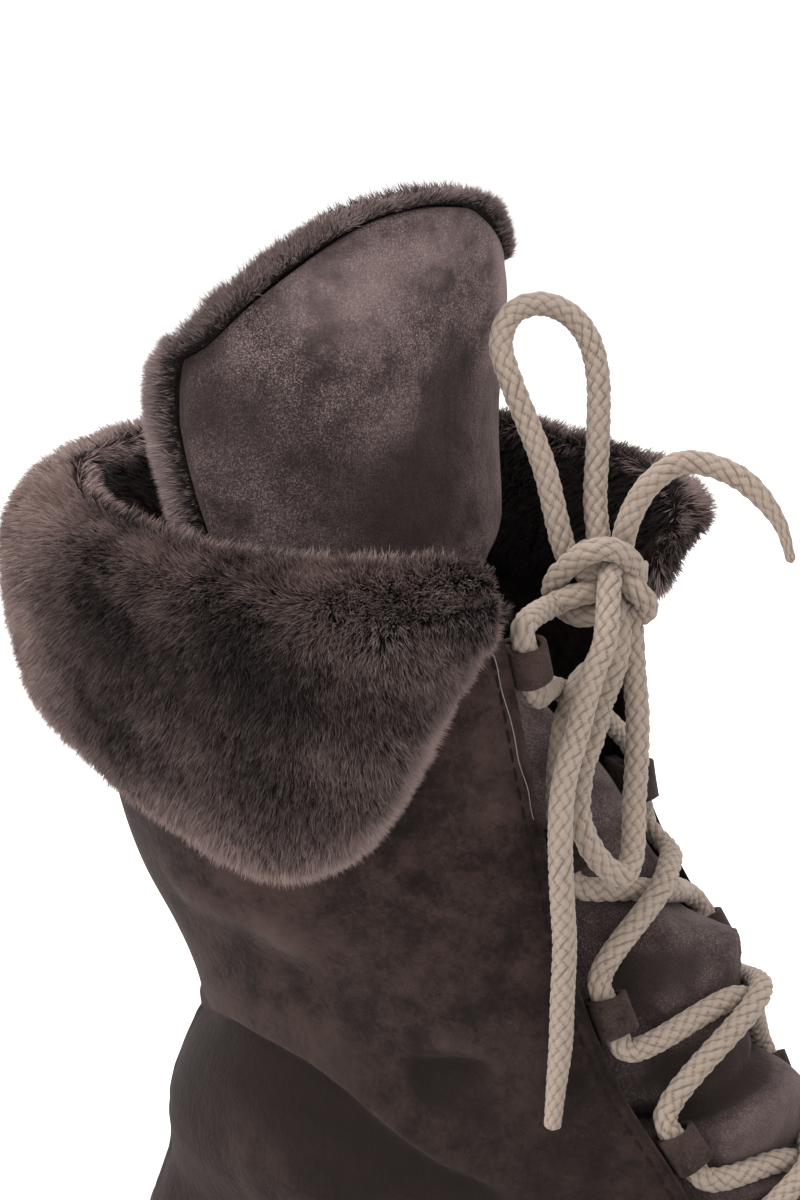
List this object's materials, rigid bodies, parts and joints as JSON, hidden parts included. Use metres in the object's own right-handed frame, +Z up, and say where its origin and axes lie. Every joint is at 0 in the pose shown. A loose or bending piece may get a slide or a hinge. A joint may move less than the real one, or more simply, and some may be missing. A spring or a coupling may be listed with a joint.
{
  "type": "snow boot",
  "caption": "Lace-up winter boot for the right foot: suede shell lined with fleece, turned-down fur cuff, tall wrapped tongue, low ribbed rubber sole and a bow.",
  "frame": {"origin": "on the floor, under the middle of the boot's box, the lace's bow left out", "axes": "+Z up, +X towards the toe, -Y towards the outer side of the foot"},
  "size_m": [0.2782, 0.139, 0.2765],
  "materials": {
    "suede": "matte",
    "tongue_suede": "matte",
    "tab_suede": "matte",
    "cuff_fur": "matte",
    "fleece": "matte",
    "footbed": "matte",
    "rubber": "matte",
    "lace_cotton": "matte"
  },
  "bodies": {
    "root": {"outsole": "rubber", "insole": "footbed", "upper": "suede", "cuff": "cuff_fur", "tongue": "tongue_suede", "tongue_fleece": "fleece", "lace_tab_outer_1": "tab_suede", "lace_tab_outer_2": "tab_suede", "lace_tab_outer_3": "tab_suede", "lace_tab_outer_4": "tab_suede", "lace_tab_outer_5": "tab_suede", "lace_tab_inner_1": "tab_suede", "lace_tab_inner_2": "tab_suede", "lace_tab_inner_3": "tab_suede", "lace_tab_inner_4": "tab_suede", "lace_tab_inner_5": "tab_suede", "lace_crossings": "lace_cotton", "lace_knot": "lace_cotton", "lace_loop_up": "lace_cotton", "lace_loop_down": "lace_cotton", "lace_end_right": "lace_cotton", "lace_end_down": "lace_cotton"}
  },
  "joints": []
}
